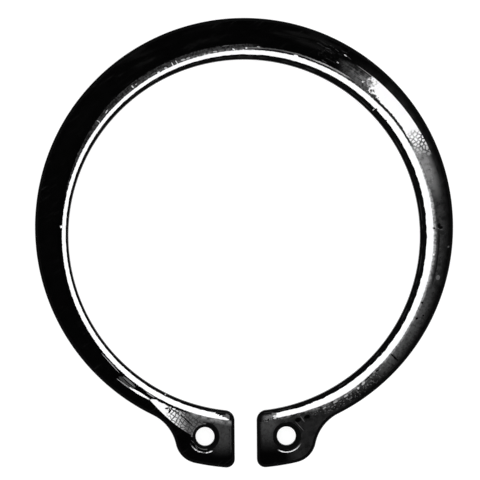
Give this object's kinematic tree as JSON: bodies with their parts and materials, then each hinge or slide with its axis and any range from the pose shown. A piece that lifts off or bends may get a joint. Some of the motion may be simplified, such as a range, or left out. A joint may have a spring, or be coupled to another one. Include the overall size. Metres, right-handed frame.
{
  "type": "retaining ring",
  "caption": "External retaining ring of blackened spring steel: an open, tapering flat ring with a drilled lug at each end, sprung into a shaft's groove.",
  "frame": {"origin": "on the ring's axis, half way through the thickness of the strip", "axes": "+Z along the ring's axis, out of the face with the rolled edges; -Y through the middle of the gap; +X to the right of the gap when looking down on that face"},
  "size_m": [0.0492, 0.0531, 0.0018],
  "materials": {
    "blackened_steel": "black phosphated spring steel, lightly oiled, glossy with fine rub marks"
  },
  "bodies": {
    "root": {"ring": "blackened_steel"}
  },
  "joints": []
}
